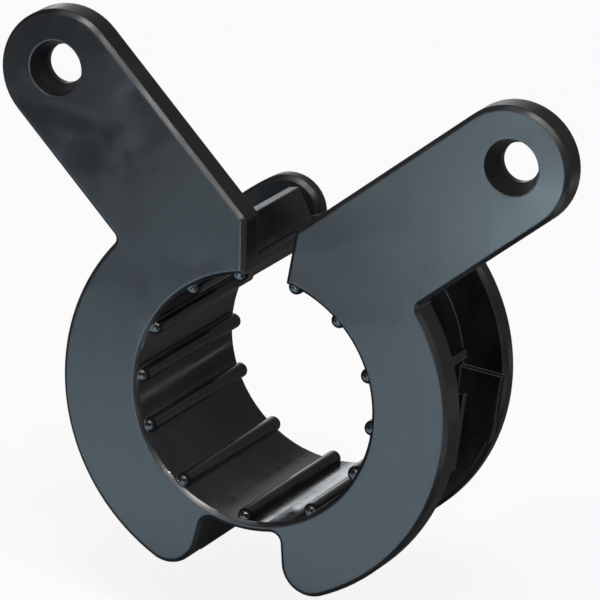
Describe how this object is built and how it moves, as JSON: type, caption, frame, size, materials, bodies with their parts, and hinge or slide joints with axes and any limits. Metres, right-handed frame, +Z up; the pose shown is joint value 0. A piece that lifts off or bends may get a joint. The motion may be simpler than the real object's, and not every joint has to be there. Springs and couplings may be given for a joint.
{
  "type": "pipe hanger",
  "caption": "Moulded plastic pipe hanger: half clamps on a thin hinge strap, with a ribbed sleeve, front and back flanges, and a flat ear with a screw hole on each half.",
  "frame": {"origin": "on the pipe axis, in the plane of the front face", "axes": "+Y along the pipe from the front face to the back flange, +Z up between the ears, +X across towards the right ear as seen from the front; the clamp is open, as moulded"},
  "size_m": [0.0576, 0.0217, 0.0513],
  "materials": {
    "black_plastic": "satin black moulded plastic with fine flow marks"
  },
  "bodies": {
    "left": {"left_half": "black_plastic", "hinge_strap": "black_plastic"},
    "right": {"right_half": "black_plastic"}
  },
  "joints": [
    {"name": "strap_hinge", "type": "hinge", "parent": "left", "child": "right", "pos_m": [0, 0.01085, -0.01247], "axis": [0, 1, 0], "range_deg": [-9.4, 50], "stiffness_Nm_per_rad": 0.25, "deforming": ["hinge_strap"]}
  ]
}
